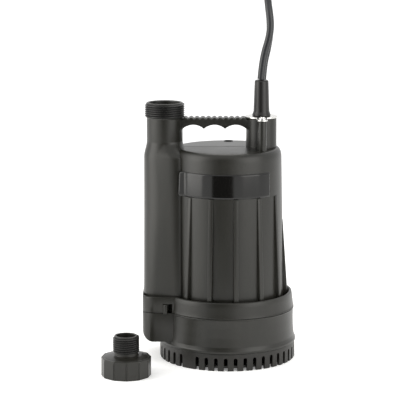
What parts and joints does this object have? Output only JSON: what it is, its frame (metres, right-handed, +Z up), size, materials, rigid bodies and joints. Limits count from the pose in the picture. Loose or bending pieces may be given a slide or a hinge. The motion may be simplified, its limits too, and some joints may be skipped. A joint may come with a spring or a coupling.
{
  "type": "submersible utility pump",
  "caption": "Upright submersible utility pump with a side riser to a threaded discharge, a grip handle, a slotted strainer foot, a coiled supply cord with a plug and a loose hose adapter.",
  "frame": {"origin": "the motor shaft's axis at the underside of the strainer, where the pump stands", "axes": "+Z up along the shaft, -X towards the discharge riser, -Y towards the label"},
  "size_m": [0.2021, 0.316, 0.4097],
  "materials": {
    "housing_plastic": "satin moulded thermoplastic",
    "label_gloss": "smooth glossy",
    "rubber": "matt rubber",
    "cord_jacket": "satin cord jacket",
    "steel": "stainless",
    "cast_aluminium": "cast",
    "lamination": "stacked laminations",
    "copper": "enamelled copper wire",
    "brass": "plain",
    "inner_plastic": "moulded",
    "ceramic": "lapped ceramic"
  },
  "bodies": {
    "pump": {"motor_housing": "housing_plastic", "volute_casing": "housing_plastic", "label_plate": "label_gloss", "fill_plug": "housing_plastic", "cord_cover_plate": "steel", "cover_screw_front": "steel", "cover_screw_rear": "steel", "strain_relief": "rubber", "cord_seal": "rubber", "casing_gasket": "rubber", "casing_screw_1": "steel", "casing_screw_2": "steel", "casing_screw_3": "steel", "casing_screw_4": "steel", "seal_plate": "cast_aluminium", "housing_o_ring": "rubber", "shaft_seal": "rubber", "lower_bearing": "steel", "upper_bearing": "steel", "upper_bearing_bracket": "cast_aluminium", "stator_core": "lamination", "lower_winding": "copper", "upper_winding": "copper", "stator_bolt_1": "steel", "stator_bolt_2": "steel", "stator_bolt_3": "steel", "stator_bolt_4": "steel", "capacitor": "cast_aluminium", "capacitor_strap": "steel", "terminal_block": "inner_plastic", "thermal_protector": "inner_plastic", "supply_cord_end": "cord_jacket", "winding_lead": "copper", "capacitor_lead": "copper", "supply_cord": "cord_jacket", "supply_cord_tail": "cord_jacket", "cord_coil": "cord_jacket", "plug_body": "cord_jacket", "plug_blade_left": "brass", "plug_blade_right": "brass", "plug_ground_pin": "brass"},
    "rotor": {"motor_shaft": "steel", "rotor_core": "cast_aluminium", "impeller": "inner_plastic", "seal_face_ring": "ceramic", "impeller_washer": "steel", "impeller_nut": "brass"},
    "strainer": {"strainer": "housing_plastic"},
    "adapter": {"discharge_adapter": "housing_plastic", "adapter_washer": "rubber"}
  },
  "joints": [
    {"name": "rotor_spin", "type": "hinge", "parent": "pump", "child": "rotor", "pos_m": [0, 0, 0.07], "axis": [0, 0, 1], "continuous": true},
    {"name": "strainer_pull", "type": "slide", "parent": "pump", "child": "strainer", "axis": [0, 0, 1], "range_m": [-0.03, 0]},
    {"name": "adapter_lift", "type": "slide", "parent": "pump", "child": "adapter", "axis": [0, 0, 1], "range_m": [0, 0.12]}
  ]
}
